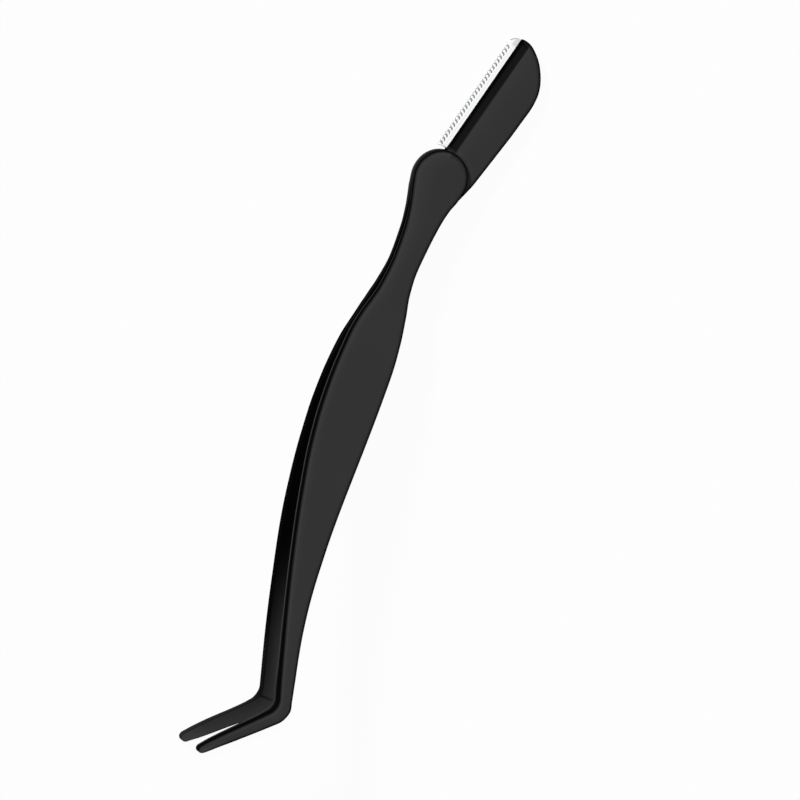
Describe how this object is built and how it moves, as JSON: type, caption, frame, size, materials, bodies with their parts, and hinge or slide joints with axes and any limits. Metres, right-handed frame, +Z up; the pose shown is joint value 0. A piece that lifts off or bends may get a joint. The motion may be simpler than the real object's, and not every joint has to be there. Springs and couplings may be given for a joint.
{
  "type": "angled tip tweezers with folding razor",
  "caption": "Angled tip tweezers with two sprung arms joined at a flat round head, and a folding comb razor that turns on a pin in the head.",
  "frame": {"origin": "on the plane that the tool lies on, under the middle of its bounding box", "axes": "+Y along the tool from the tips to the razor, +Z up from the plane that it lies on, +X to the side that the bend points away from"},
  "size_m": [0.0218, 0.1722, 0.0165],
  "materials": {
    "handle_plastic": "fine matte moulded black",
    "holder_plastic": "fine matte moulded black",
    "pin_steel": "plain turned steel",
    "blade_steel": "ground steel",
    "guard_steel": "satin stainless strip"
  },
  "bodies": {
    "handle": {"upper_head_plate": "handle_plastic", "lower_head_plate": "handle_plastic", "pivot_pin": "pin_steel"},
    "upper_arm": {"upper_arm": "handle_plastic"},
    "lower_arm": {"lower_arm": "handle_plastic"},
    "razor": {"blade_holder": "holder_plastic", "blade": "blade_steel", "comb_guard": "guard_steel"}
  },
  "joints": [
    {"name": "razor_fold", "type": "hinge", "parent": "handle", "child": "razor", "pos_m": [-0.00466, 0.05079, 0.00238], "axis": [0, 0.0467, 0.9989], "range_deg": [0, 183]},
    {"name": "upper_arm_flex", "type": "hinge", "parent": "handle", "child": "upper_arm", "pos_m": [-0.00417, 0.01093, 0.00636], "axis": [1, 0, 0], "range_deg": [0, 3.28], "stiffness_Nm_per_rad": 0.9, "springref_deg": -1.15},
    {"name": "lower_arm_flex", "type": "hinge", "parent": "handle", "child": "lower_arm", "pos_m": [-0.00417, 0.01073, 0.00213], "axis": [-1, 0, 0], "range_deg": [0, 3.28], "stiffness_Nm_per_rad": 0.9, "springref_deg": -1.15}
  ],
  "couplings": [
    {"joint": "lower_arm_flex", "follows": "upper_arm_flex", "ratio": 1}
  ]
}
